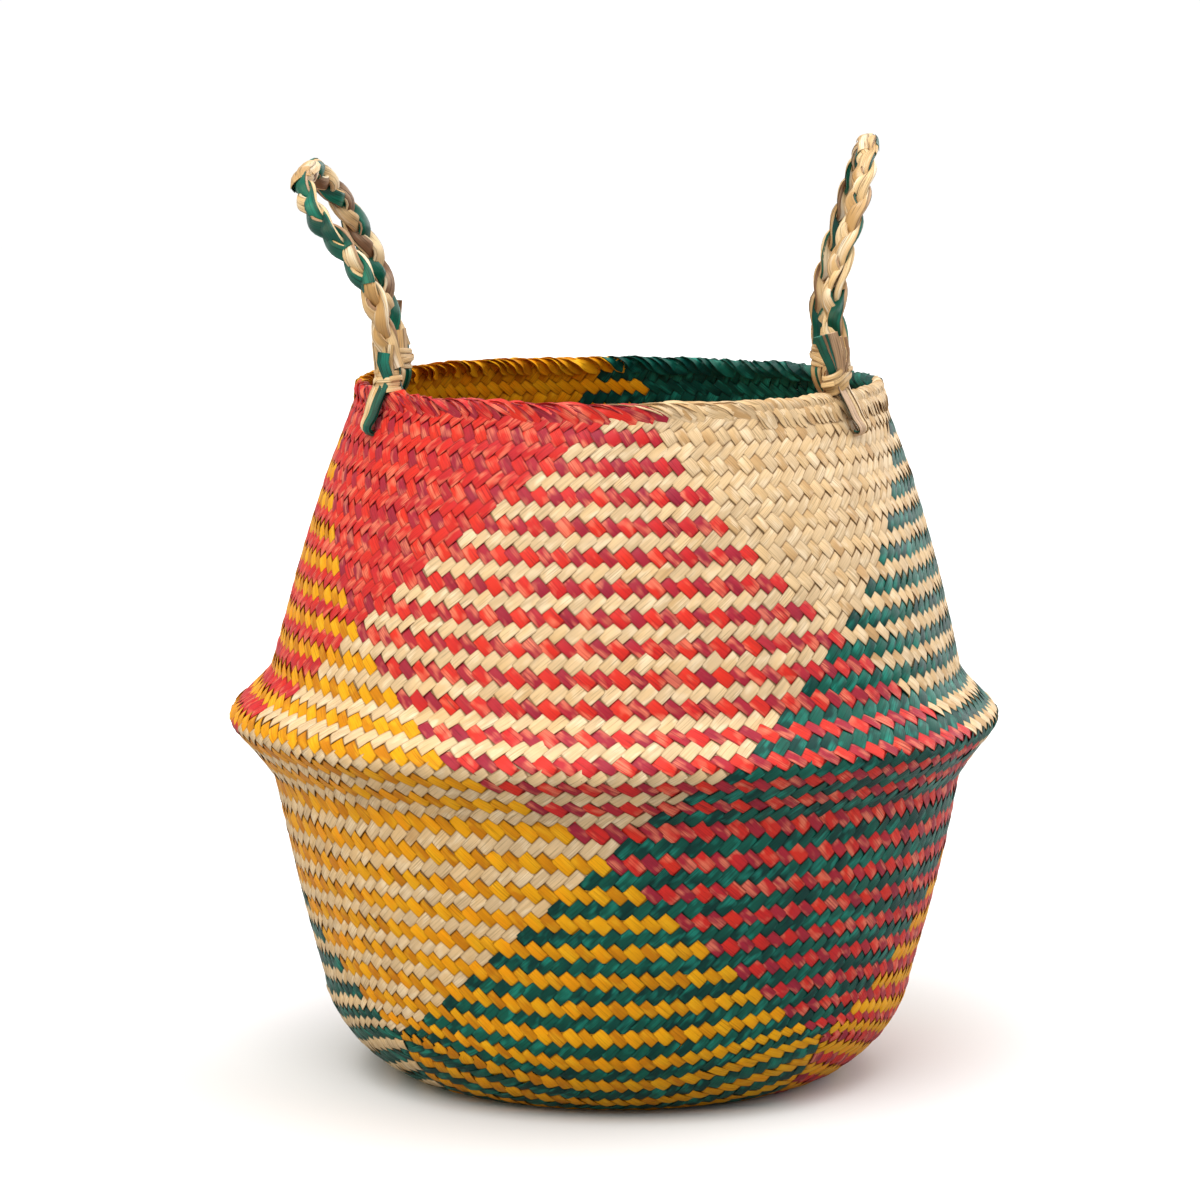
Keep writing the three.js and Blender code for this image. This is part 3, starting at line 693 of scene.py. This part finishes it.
def fold_rim():
    """The folds of the rim, a quarter in each colour, over their core."""
    share = np.linspace(0, 1, 21)
    shift, height = points_at(share, np.linspace(0, 1, len(RIM_WAY)), RIM_WAY).T
    inner = np.clip(share * 3 - 1, 0, 1)
    for quarter, colour in enumerate(("green", "mustard", "red", "natural")):
        ribbons = Ribbons()
        first = 90 * quarter + RIM_SHIFT
        places = [(n, n + 0.5, FOLD_SLANTS[colour], 0.0, FOLD_WIDTHS[colour][n % 2]) for n in range(QUARTER)]
        if colour == "natural":
            places = places[:KNUCKLE_START]
            for n in range(2 * KNUCKLE_START, HALF_ROUND):
                for row, drop in enumerate(KNUCKLE_DROPS):
                    places.append((n, n / 2 + 0.25 * (1 + row), KNUCKLE_SLANT, drop, KNUCKLE_HALF))
        for n, place, fold_slant, drop, half_width in places:
            start = first + STRIP_ANGLE * place + chance.normal(0, 0.5)
            slant = fold_slant * (1 + chance.normal(0, 0.16))
            azimuth = np.radians(start + slant * (0.5 - share))
            waves = unevenness(azimuth, RIM[1])
            puff = 1 + chance.random() * 0.3 * np.sin(math.pi * share) ** 2
            ruffle = 0.35 * np.sin(9 * azimuth + 1) + 0.3 * np.sin(17 * azimuth) + 0.2 * np.sin(31 * azimuth)
            shifted = shift * (1 - 0.9 * inner * (drop < 0))
            knuckle = 1.5 * np.sin(math.pi * share) ** 2 * (half_width < 2)
            rows = height + drop * (1 - 0.4 * inner)
            radius = RIM_MIDDLE + RIM_SLOPE * rows + shifted * puff + knuckle + waves
            level = RIM[1] + rows + ruffle + chance.normal(0, 0.2)
            centre = about_axis(radius, azimuth, level)
            heart = about_axis(
                RIM_MIDDLE + RIM_SLOPE * rows + waves - (1.5 if drop else 0), azimuth,
                np.minimum(level, RIM[1] - 3) - (2.0 if drop else 0))
            along = unit(np.gradient(centre, axis=0))
            out = square_to(unit(centre - heart), along)
            lap = FOLD_LAPS[colour] + wander(share, 0.3, 0.05)
            side = unit(np.cross(along, out) + out * lap[:, None])
            out = np.cross(side, along)
            taper = np.clip(0.55 + 4.0 * np.minimum(share, 1 - share), 0, 1)
            pinch = 1 + wander(share, 0.2, 0.09)
            wide = half_width * (1 + chance.normal(0, 0.06)) * taper * pinch
            tone = (0.55 if n % 2 == 0 else 0.05) + 0.4 * chance.random()
            ribbons.lay(centre, side, out, wide, 0.24, 0.13, tone)
        lay_rim_core(ribbons, first)
        ribbons.piece(f"rim_folds_{colour}", f"{colour}_strip", "upper", [f"rim_edge_{colour}"])


def arch_path():
    """The arch of a handle in its own frame, from the front foot to the back foot, and the run along it."""
    points = [(0.0, -HANDLE_HALF_SPAN, -KNUCKLE)]
    for n in range(ARCH_STEPS + 1):
        angle = math.pi * n / ARCH_STEPS
        points.append((0.0, -HANDLE_HALF_SPAN * math.cos(angle), HANDLE_HEIGHT * math.sin(angle)))
    points.append((0.0, HANDLE_HALF_SPAN, -KNUCKLE))
    points = np.array(points)
    return points, run_along(points)


ARCH, ARCH_RUN = arch_path()
ARCH_LENGTH = ARCH_RUN[-1]


def along_arch(run):
    """Centre of the plait, the direction across it and the direction out of the arch."""
    along = unit(points_at(run + 1.5, ARCH_RUN, ARCH) - points_at(run - 1.5, ARCH_RUN, ARCH))
    across = np.tile([1.0, 0.0, 0.0], (len(run), 1))
    return points_at(run, ARCH_RUN, ARCH), across, np.cross(across, along)


def lean_handle(side, centre, *directions):
    """A line of a handle and its directions, from the arch's own frame to where the handle leans at rest."""
    outward = -1 if side == "left" else 1
    lean = math.radians(outward * LEANS[side])
    turn = np.array([[math.cos(lean), 0, math.sin(lean)], [0, 1, 0], [-math.sin(lean), 0, math.cos(lean)]])
    hinge = np.array([outward * HINGE_X, 0, HINGE_HEIGHT])
    return centre @ turn.T + hinge, *(rows @ turn.T + 0 for rows in directions)


# Leaves curled round each of a handle's three strands: colour, the angles between which the leaf lies on the
# strand (its outer face is at 0), lift off the strand, and where it starts and ends on the run from the front
# foot if it doesn't last the whole length
WHOLE_LENGTH = (0, 300)
LEAVES = {
    "left": (
        (("brown", 52, 118, 0.08), ("natural", -125, -60, 0.14), ("natural", 105, 245, 0.12),
         ("natural", -84, -18, 0.34), ("natural", -28, 60, 0.46, 0, 62), ("green", -60, 62, 0.56, 56, 150),
         ("natural", -30, 58, 0.46, 144, 300)),
        (("natural", 48, 125, 0.12), ("brown", -120, -66, 0.10), ("green", 112, 246, 0.12),
         ("green", -84, -30, 0.32, 30, 300), ("natural", -86, 60, 0.44, 0, 44),
         ("green", -40, 66, 0.56, 38, 300)),
        (("natural", 50, 130, 0.14), ("natural", -130, -62, 0.08), ("brown", 110, 240, 0.12),
         ("brown", -80, -38, 0.28, 0, 96), ("green", -82, -30, 0.30, 92, 300),
         ("natural", -48, 60, 0.44, 0, 44), ("green", -48, 62, 0.56, 38, 84),
         ("natural", -48, 60, 0.44, 78, 126), ("green", -48, 60, 0.56, 120, 300)),
    ),
    "right": (
        (("green", 60, 122, 0.10, 0, 110), ("natural", 54, 122, 0.10, 106, 300), ("brown", -125, -60, 0.12),
         ("natural", 105, 245, 0.12), ("natural", -84, -6, 0.36), ("natural", -18, 70, 0.5)),
        (("natural", 45, 125, 0.12), ("green", -122, -64, 0.10), ("natural", 112, 246, 0.12),
         ("natural", -80, 12, 0.5, 0, 114), ("natural", 4, 70, 0.36), ("green", -76, 30, 0.58, 108, 132),
         ("natural", -80, 12, 0.5, 126, 300)),
        (("brown", 56, 130, 0.08), ("natural", -130, -58, 0.08), ("green", 110, 240, 0.12),
         ("natural", -84, -22, 0.36), ("green", -34, 60, 0.5, 0, 40), ("natural", -34, 64, 0.58, 34, 300)),
    ),
}
# Leaves over the top of each plait: colour, runs from and to, angles from and to, half width, half depth
COVERS = {
    "left": (("natural", -25, 4, -56, 74, 6.1, 5.0), ("natural", -17, 9, 66, 108, 5.7, 4.5),
             ("green", -22, 8, -100, -52, 5.8, 4.5)),
    "right": (("natural", -20, 8, -84, 4, 4.4, 3.3), ("natural", -10, 10, -14, 58, 4.2, 3.1),
              ("green", -15, 2, 52, 112, 5.2, 3.8)),
}
# Where the middle of each plait strays from its true arch: run from the front foot, and the shift across
STRAY = {
    "left": ((0, -3.2), (10, -1.0), (18, 1.2), (32, 3.8), (48, 3.4), (63, 0.4), (79, -4.6), (96, -5.6),
             (114, -4.8), (134, -2.2), (150, -0.6), (162, 1.2), (176, 3.0), (214, 3.6), (230, 0.6),
             (242, -3.0), (258, -5.4)),
    "right": ((0, 0), (12, -4.0), (28, -8.4), (48, -8.4), (74, -4.6), (104, -2.6), (128, -2.4), (160, -2.8),
              (205, -5.8), (235, -8.0), (248, -5.0), (258, -2.0)),
}
TOP_LIFT = {"left": -4.0, "right": 2.6}
TOP_REACH = {"left": 15, "right": 26}
PLAIT_ROLL = {"left": 44.0, "right": 46.0}
STRAND_SWAY = {"left": 3.5, "right": 3.1}
STRAND_DEPTH = {"left": 2.35, "right": 2.3}
STRAND_THICKNESS = {"left": 1.4, "right": 1.45}


def stray(side, run):
    """How far the middle of a plait lies to the side of its arch."""
    rows = np.array(STRAY[side], float)
    return sum(np.interp(run + aside, rows[:, 0], rows[:, 1]) for aside in range(-8, 9, 2)) / 9


def near_top(side, run):
    """1 at the top of a plait, falling to 0 along it."""
    return np.exp(-((run - ARCH_LENGTH / 2 + 3) / TOP_REACH[side]) ** 2)


def plait_handles():
    """Both handles: three strands of curled leaves each, and the leaves over the top."""
    run = np.linspace(0, ARCH_LENGTH, int(21 * ARCH_LENGTH / PLAIT_PITCH))
    centre, across, up = along_arch(run)
    turning = np.clip(run, 8, ARCH_LENGTH - 8)
    foot = np.clip(1 - (np.minimum(run, ARCH_LENGTH - run) - 6) / 16, 0, 1)
    foot = foot * foot * (3 - 2 * foot)
    for side in LEAVES:
        roll = (math.radians(PLAIT_ROLL[side]) * (1 - foot))[:, None]
        wide_way = across * np.cos(roll) + up * np.sin(roll)
        deep_way = up * np.cos(roll) - across * np.sin(roll)
        at_top = near_top(side, run)
        tight = 1 - 0.34 * at_top
        middle = centre + across * stray(side, run)[:, None] + up * (TOP_LIFT[side] * at_top)[:, None]
        for strand in range(3):
            angle = 2 * math.pi * turning / PLAIT_PITCH + 2 * math.pi * strand / 3
            sway = STRAND_SWAY[side] * tight * (1 - 0.25 * foot) * np.sin(angle)
            sway = sway + wander(run, 24, 0.22)
            depth = STRAND_DEPTH[side] * tight * (1 - 0.7 * foot) * np.sin(2 * angle)
            depth = depth + wander(run, 24, 0.12)
            line = middle + wide_way * sway[:, None] + deep_way * depth[:, None]
            tangent = unit(np.gradient(line, axis=0))
            tilt = (0.42 * np.sin(angle) * np.sin(2 * angle) * (1 - foot))[:, None]
            face = square_to(deep_way * np.cos(tilt) + wide_way * np.sin(tilt), tangent)
            flat = np.cross(tangent, face)
            half = 3.5 - 0.7 * foot + 0.2 * np.cos(2 * angle) + wander(run, 13, 0.16)
            deep = STRAND_THICKNESS[side] - 0.3 * foot + wander(run, 17, 0.08)
            bundles = {colour: Ribbons() for colour in ("natural", "green", "brown")}
            for colour, first, last, lift, *part in LEAVES[side][strand]:
                start, end = part or WHOLE_LENGTH
                drift = wander(run, 13, 0.10)
                first_angle = math.radians(first) + drift + wander(run, 11, 0.07)
                last_angle = math.radians(last) + drift + wander(run, 11, 0.07)
                kept = (run >= start) & (run <= end)
                tucked = np.clip((run - end + 8) / 5, 0, 1)
                lifts = lift + wander(run, 30, 0.03) - 0.6 * tucked
                bundles[colour].wrap(
                    *lean_handle(side, line[kept], flat[kept], face[kept]), half[kept], deep[kept],
                    first_angle[kept], last_angle[kept], lifts[kept], chance.random())
            for colour, ribbons in bundles.items():
                if ribbons.count:
                    ribbons.piece(
                        f"{side}_strand_{strand + 1}_{colour}", f"{colour}_leaf", f"{side}_handle",
                        [f"{side}_handle_strand_{strand + 1}"])
        cover_plait(side)


def cover_plait(side):
    """The broad leaves folded over the top of the plait, with squared ends."""
    roll = math.radians(PLAIT_ROLL[side] * 0.35)
    covers = {}
    for colour, first_run, last_run, first, last, half, deep in COVERS[side]:
        run = ARCH_LENGTH / 2 + np.linspace(first_run, last_run, 18)
        centre, across, up = along_arch(run)
        lowered = TOP_LIFT[side] * near_top(side, run) + 0.5
        centre = centre + across * stray(side, run)[:, None] + up * lowered[:, None]
        flat = across * math.cos(roll) + up * math.sin(roll)
        out = up * math.cos(roll) - across * math.sin(roll)
        bend = wander(run - run[0], 8, 0.06)
        covers.setdefault(colour, Ribbons()).wrap(
            *lean_handle(side, centre, flat, out), np.full(len(run), half), np.full(len(run), deep),
            math.radians(first) + bend, math.radians(last) + bend,
            0.05 + wander(run - run[0], 7, 0.12), chance.random())
    for colour, ribbons in covers.items():
        ribbons.piece(f"{side}_cover_leaves_{colour}", f"{colour}_leaf", f"{side}_handle")


# Feet of the handles: azimuth, which way sideways goes, how far leaves and lashing lie to that side, how far
# the leaves slant with height, and how much closer they lie at the slot than at the lashing
FEET = {
    "right_back": (FOOT_ANGLE, 1, 4.0, 0.0, 0.0),
    "left_back": (180 - FOOT_ANGLE, -1, -4.5, 0.0, 0.0),
    "left_front": (180 + FOOT_ANGLE, 1, -5.0, 0.08, 0.42),
    "right_front": (-FOOT_ANGLE, -1, 5.0, 0.36, 0.0),
}
# Threaded leaves of each foot: node, colour, and for each leaf its place sideways, half width, rise and roll
THREADED = {
    "right_back": (
        ("natural", "natural", ((-3.4, 2.7, 0.0, 0.10), (-1.2, 2.0, 0.75, -0.12), (-5.2, 1.5, 0.5, 0.35))),
        ("green", "green", ((1.9, 1.3, 0.6, 0.1),)), ("green", "natural", ((4.4, 2.5, 0.2, 0.2),))),
    "left_back": (
        ("natural", "natural", ((-3.4, 2.7, 0.0, 0.10), (-1.4, 2.2, 0.75, -0.12))),
        ("green", "green", ((3.0, 2.3, 0.1, 0.25), (4.3, 1.8, 0.7, -0.2)))),
    "left_front": (
        ("natural", "natural", ((-3.2, 3.2, 0.0, -0.30), (-5.2, 1.6, 0.7, -0.2), (-1.4, 1.6, 0.8, -0.4))),
        ("green", "green", ((3.9, 2.7, 1.1, -0.50), (5.4, 1.3, 1.8, -0.6)))),
    "right_front": (
        ("natural", "natural", ((-4.6, 1.0, 0.6, 0.5), (-3.2, 1.1, 0.1, 0.3), (-1.7, 1.0, 0.5, 0.2))),
        ("green", "brown", ((2.4, 4.0, 0.8, 0.12),)), ("green", "green", ((2.6, 1.5, -0.3, 0.1),))),
}
# Natural leaves standing above each lashing: sideways, outward low and high, top, half width
STANDING = {
    "right_back": (
        (-4.2, 3.0, 3.4, 346.5, 2.4), (0.2, 3.4, 4.0, 347.0, 2.5), (4.2, 3.0, 3.6, 346.0, 2.2),
        (-2.4, -3.0, -2.6, 345.5, 2.6), (3.0, -3.0, -2.6, 346.0, 2.6)),
    "left_back": (
        (-4.0, 3.2, 4.8, 346.5, 2.3), (0.6, 3.6, 5.4, 347.0, 2.6), (4.4, 3.0, 4.4, 345.5, 1.9),
        (-2.2, -3.4, -2.2, 345.0, 2.6), (2.8, -3.4, -2.2, 345.5, 2.6)),
    "left_front": (
        (-4.2, 3.2, 5.0, 348.5, 2.4), (-0.6, 3.5, 5.4, 347.0, 1.9), (4.9, 2.8, 4.4, 348.0, 2.0),
        (-2.2, -3.4, -2.2, 345.0, 2.6), (2.8, -3.4, -2.2, 345.5, 2.6)),
    "right_front": (
        (-4.2, 3.0, 3.4, 346.5, 2.3), (0.0, 3.3, 3.8, 347.0, 2.6), (4.0, 3.0, 3.4, 346.0, 2.0),
        (-2.4, -3.0, -2.6, 345.5, 2.6), (3.0, -3.0, -2.6, 345.5, 2.4)),
}
# Cut leaf ends above each lashing: colour, sideways low and high, outward low and high, top, half width, turn
CUT_ENDS = {
    "right_back": (
        ("green", 5.5, 6.6, 1.0, 1.6, 345.0, 1.6, 0.2), ("natural", 7.0, 8.4, 0.2, 1.4, 343.5, 1.7, 0.5)),
    "left_back": (
        ("green", 3.6, 4.0, 4.2, 6.0, 358.6, 1.9, -1.03), ("brown", 6.8, 8.4, 4.0, 5.0, 358.4, 1.8, -1.03)),
    "left_front": (
        ("green", 6.6, 8.0, 2.6, 5.6, 344.6, 2.7, -1.03), ("natural", 7.0, 7.4, 1.2, 1.8, 348.0, 1.5, -0.8)),
    "right_front": (
        ("green", 6.0, 18.4, 1.4, -0.8, 353.0, 2.0, -1.03), ("brown", 5.6, 16.6, 1.7, 0.4, 353.5, 1.3, -1.03),
        ("green", 5.2, 15.2, 2.0, 1.4, 353.8, 1.0, -1.03), ("brown", 4.0, 13.0, 2.6, 3.4, 354.5, 2.6, -1.03),
        ("brown", 1.6, 8.6, 3.2, 5.8, 352.8, 0.6, -1.03), ("brown", 0.8, 7.4, 3.4, 7.4, 352.5, 0.6, -1.03)),
}
# Lean of each lashing: fall to its side, rise outwards, shift of its middle with height, and lift
LASHING_LEAN = {
    "right_back": (0.05, 0.0, 0.0, 0.0),
    "left_back": (-0.08, 0.0, 0.0, 0.0),
    "left_front": (0.06, 0.0, -0.1, 0.0),
    "right_front": (-0.5, 0.3, 0.4, 2.6),
}


def foot_place(foot, rows, place=True):
    """From a foot's own frame (out from the wall, sideways, up) to the basket."""
    azimuth, mirror, aside = FEET[foot][:3]
    angle = math.radians(azimuth)
    out = np.array([math.cos(angle), math.sin(angle), 0])
    sideways = mirror * np.array([-math.sin(angle), math.cos(angle), 0])
    start = aside * sideways if place else 0
    return start + rows[:, :1] * out + rows[:, 1:2] * sideways + rows[:, 2:3] * np.array([0, 0, 1.0])


def lay_in_foot(ribbons, foot, rows, side, face, *sizes):
    """Lays a ribbon whose line and directions are in a foot's own frame."""
    ribbons.lay(foot_place(foot, rows), foot_place(foot, side, False), foot_place(foot, face, False), *sizes)


def foot_line(out, sideways, level):
    """Points of a line in a foot's own frame, and the direction along it."""
    rows = np.stack([out, sideways, level], axis=1)
    return rows, unit(np.gradient(rows, axis=0))


def leaf_way(top):
    """Way of a foot's leaf, out and up: down inside the wall, through the slot and up outside."""
    heights = (top, LASHING_FOOT + 3, RIM[1] - 0.5, RIM[1] - 6, RIM[1] - 12)
    inside = [(RIM_MIDDLE + out, up) for out, up in zip((-1.6, -1.8, -3.9, -2.6, 0.8), heights)]
    outside = [(RIM_MIDDLE + out, up) for out, up in zip((7.9, 6.2, 4.0, 1.8, 1.6), heights[::-1])]
    middle = RIM[0] + (COLLAR[0] - RIM[0]) * (RIM[1] - SLOT_HEIGHT - 2) / (RIM[1] - COLLAR[1]) - WALL / 2
    bend = []
    for n in range(9):
        angle = math.pi + math.pi * n / 8
        bend.append((middle + 3.0 * math.cos(angle), SLOT_HEIGHT + 6.5 + 3.0 * math.sin(angle)))
    return np.array(inside + bend + outside)


def smooth_way(points, number):
    """An even, smooth line through the points."""
    run = run_along(points)
    line = points_at(np.linspace(0, run[-1], number), run, points)
    for _ in range(3):
        line[1:-1] = 0.25 * line[:-2] + 0.5 * line[1:-1] + 0.25 * line[2:]
    return line


def thread_leaves(foot):
    """The leaves that go through the wall and up both its sides."""
    slant, gather = FEET[foot][3:]
    way = smooth_way(leaf_way(LASHING_TOP + 0.8), WAY_POINTS)
    near_slot = np.exp(-((way[:, 1] - SLOT_HEIGHT) / 7.0) ** 2)
    gathered = gather * np.clip((LASHING_FOOT - way[:, 1]) / 20, 0, 1)
    for node, colour, leaves in THREADED[foot]:
        ribbons = Ribbons()
        for offset, half, rise, roll in leaves:
            sideways = offset * (1 - 0.42 * near_slot - gathered) + wander(np.arange(WAY_POINTS), 9, 0.25)
            sideways = sideways + slant * np.minimum(way[:, 1] - LASHING_FOOT, 0)
            rows, along = foot_line(way[:, 0], sideways, way[:, 1])
            side = square_to(np.tile([0.0, 1.0, 0.0], (len(rows), 1)), along)
            face = np.cross(along, side)
            if face[0][0] > 0:
                face = -face
            side = unit(side + face * roll)
            face = square_to(face, side)
            half_width = half * (1 - 0.32 * near_slot)
            lay_in_foot(ribbons, foot, rows + face * rise, side, face, half_width, 0.5, 0.15, chance.random())
        ribbons.piece(
            f"{foot}_{node}_threaded_{colour}", f"{colour}_leaf", "upper", [f"{foot}_{node}_leaf"])


def stand_leaves(foot):
    """The natural leaves that stand round the foot of the plait."""
    standing = Ribbons()
    share = np.linspace(0, 1, 12)
    low = LASHING_FOOT + 2
    for place, low_out, high_out, top, half in STANDING[foot]:
        rows, along = foot_line(
            RIM_MIDDLE + low_out + (high_out - low_out) * share ** 1.5,
            place * (0.86 + 0.14 * np.sin(math.pi * share)) + wander(share, 0.5, 0.15),
            low + (top - low) * share)
        side = unit(np.tile([-0.10 * place * np.sign(low_out), 1.0, 0.0], (len(rows), 1)))
        side = square_to(side, along)
        face = np.cross(along, side) * -np.sign(low_out)
        face = np.where(np.sum(face * np.array([low_out, 0, 0]), axis=1)[:, None] > 0, face, -face)
        lay_in_foot(
            standing, foot, rows, side, face, half * (1 - 0.12 * share ** 3), 0.45, 0.14, chance.random())
    standing.piece(f"{foot}_standing_leaves", "natural_leaf", "upper")


def stand_cut_ends(foot):
    """The leaf ends cut square above the lashing."""
    sets = {}
    share = np.linspace(0, 1, 9)
    low = LASHING_TOP - 4
    for colour, low_side, high_side, low_out, high_out, top, half, turn in CUT_ENDS[foot]:
        bow = 0.3 * np.sin(math.pi * share)
        rows, along = foot_line(
            RIM_MIDDLE + low_out + (high_out - low_out) * np.minimum(1, 1.6 * share) + bow,
            low_side + (high_side - low_side) * share ** 1.3,
            low + (top - LASHING_TOP + 4) * share)
        side = square_to(np.tile([math.sin(turn), math.cos(turn), 0.0], (len(rows), 1)), along)
        lay_in_foot(
            sets.setdefault(colour, Ribbons()), foot, rows, side, np.cross(along, side),
            half * (0.9 + 0.15 * share), 0.4, 0.14, chance.random())
    for colour, ribbons in sets.items():
        ribbons.piece(f"{foot}_{colour}_cut_end", f"{colour}_leaf", "upper", [f"{foot}_leaf_end"])


def round_bundle(out, sideways, level, far):
    """Points of a winding, with the directions along it and out from the bundle that it goes round."""
    rows, along = foot_line(out, sideways, level)
    heart = np.stack([np.full(len(rows), RIM_MIDDLE), np.clip(sideways, -3.0, far), level], axis=1)
    return rows, along, square_to(unit(rows - heart), along)


def wind_lashing(foot):
    """Raffia wound six times round the leaves, and once more across the front. At the right back foot a
    broad leaf goes round the strands above it too."""
    lashing = Ribbons()
    fall, rise, lean, lift = LASHING_LEAN[foot]
    for turns, low, high, swell, slant, half in (
        (6.0, LASHING_FOOT + 0.6, LASHING_TOP - 1.0, 0.0, 0.0, 1.15),
        (0.8, LASHING_FOOT + 3.2, LASHING_TOP - 4.2, 0.75, 2.6, 1.2),
    ):
        share = np.linspace(0, 1, int(turns * 30))
        angle = 2 * math.pi * turns * share + (1.2 if slant else 0)
        uneven = swell + 0.3 * np.sin(angle * 0.37 + 1) + wander(share * turns, 0.3, 0.12)
        across, outward = pressed_round(angle, 0.66)
        sideways = 1.0 + (6.9 + uneven) * across
        outward = (4.3 + uneven) * outward
        level = low + (high - low) * share + slant * np.sin(angle) + wander(share * turns, 0.4, 0.15)
        rows, along, out = round_bundle(
            RIM_MIDDLE + outward, sideways + lean * (level - LASHING_FOOT - 5),
            level + fall * (sideways - 1.0) + rise * outward + lift, 5.0)
        side = unit(np.cross(along, out) + out * wander(share * turns, 0.5, 0.12, 0.16)[:, None])
        out = np.cross(side, along)
        own_tone = np.clip(0.5 + wander(share * turns, 1.0, 0.35), 0, 1)
        half_width = half * wander(share * turns, 0.4, 0.1, 1)
        lay_in_foot(lashing, foot, rows, side, out, half_width, 0.4, 0.13, own_tone)
    if foot == "right_back":
        share = np.linspace(0, 1, 72)
        angle = 2 * math.pi * (2.3 * share + 0.4)
        across, outward = pressed_round(angle, 0.66)
        rows, along, out = round_bundle(
            RIM_MIDDLE + (4.6 + 0.5 * share) * outward, 0.4 + (7.3 + 0.5 * share) * across,
            LASHING_TOP + 2.0 + 4.5 * share + 0.6 * np.sin(angle), 4.0)
        lay_in_foot(lashing, foot, rows, np.cross(along, out), out, 3.2, 0.35, 0.13, chance.random())
    lashing.piece(f"{foot}_raffia_lashing", "raffia", "upper", [f"{foot}_lashing"])


set_stage()
plait_wall()
fold_rim()
plait_handles()
for foot in FEET:
    thread_leaves(foot)
    stand_leaves(foot)
    stand_cut_ends(foot)
    wind_lashing(foot)
